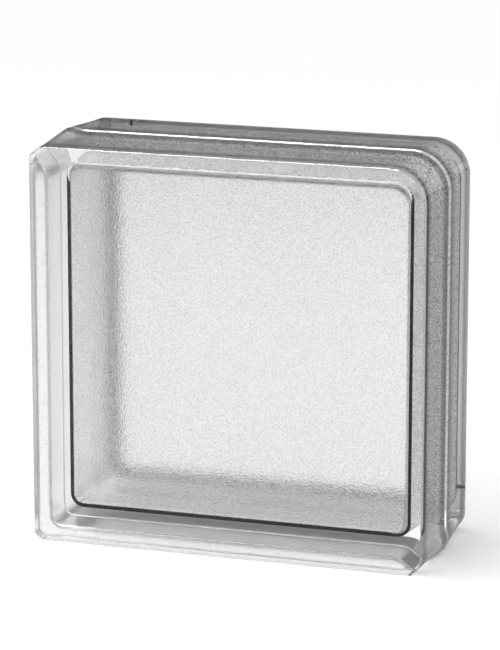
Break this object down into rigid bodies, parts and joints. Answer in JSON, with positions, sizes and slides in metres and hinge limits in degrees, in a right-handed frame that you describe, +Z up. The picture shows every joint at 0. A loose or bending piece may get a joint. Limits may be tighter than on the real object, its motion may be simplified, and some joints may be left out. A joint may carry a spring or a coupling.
{
  "type": "glass block",
  "caption": "Hollow square glass block for the end of a wall: smooth faces, two finished sides with a large round corner, and lips with a mortar channel on the other two sides.",
  "frame": {"origin": "middle of the floor under the block, level with its two bottom lips", "axes": "+Z up, +X from the left mortar side to the finished right side, +Y from the front face to the back face"},
  "size_m": [0.19, 0.08, 0.19],
  "materials": {
    "glass": "polished outside, finely stippled and frosted inside, mortar channel coated"
  },
  "bodies": {
    "root": {"glass_block": "glass"}
  },
  "joints": []
}
